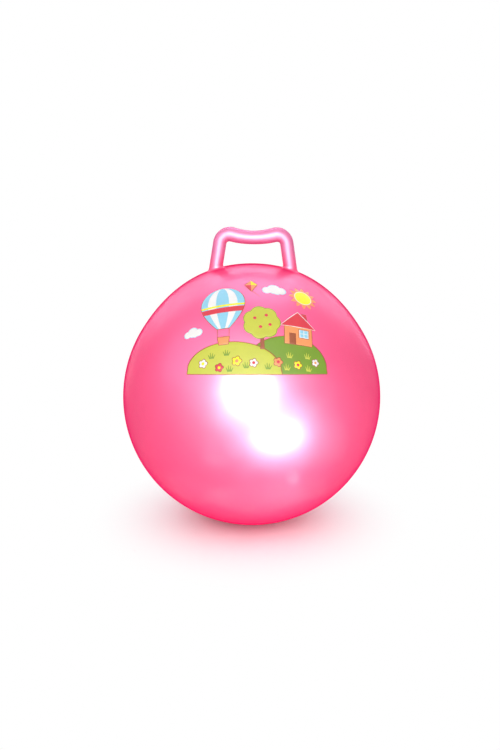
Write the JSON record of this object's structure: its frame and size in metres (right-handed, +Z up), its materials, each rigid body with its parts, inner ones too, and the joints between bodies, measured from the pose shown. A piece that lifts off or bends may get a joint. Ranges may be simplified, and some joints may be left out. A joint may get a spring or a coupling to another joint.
{
  "type": "hopper ball",
  "caption": "Inflatable vinyl hopper ball with a moulded loop handle on its crown and a push-in air valve plug on its back, for a child to sit on and bounce.",
  "frame": {"origin": "middle of the flat patch that the ball stands on", "axes": "+Z up through the handle, -Y towards the decorated front, +X to the right as seen from the front"},
  "size_m": [0.45, 0.45, 0.5189],
  "materials": {
    "ball_vinyl": "glossy pearl vinyl",
    "handle_vinyl": "glossy vinyl",
    "seat_vinyl": "satin vinyl",
    "plug_plastic": "satin moulded plastic"
  },
  "bodies": {
    "ball": {"ball_skin": "ball_vinyl", "handle": "handle_vinyl", "valve_seat": "seat_vinyl"},
    "plug": {"valve_plug": "plug_plastic"}
  },
  "joints": [
    {"name": "valve_plug_pull", "type": "slide", "parent": "ball", "child": "plug", "axis": [0, 0.9397, 0.342], "range_m": [0, 0.026]}
  ]
}
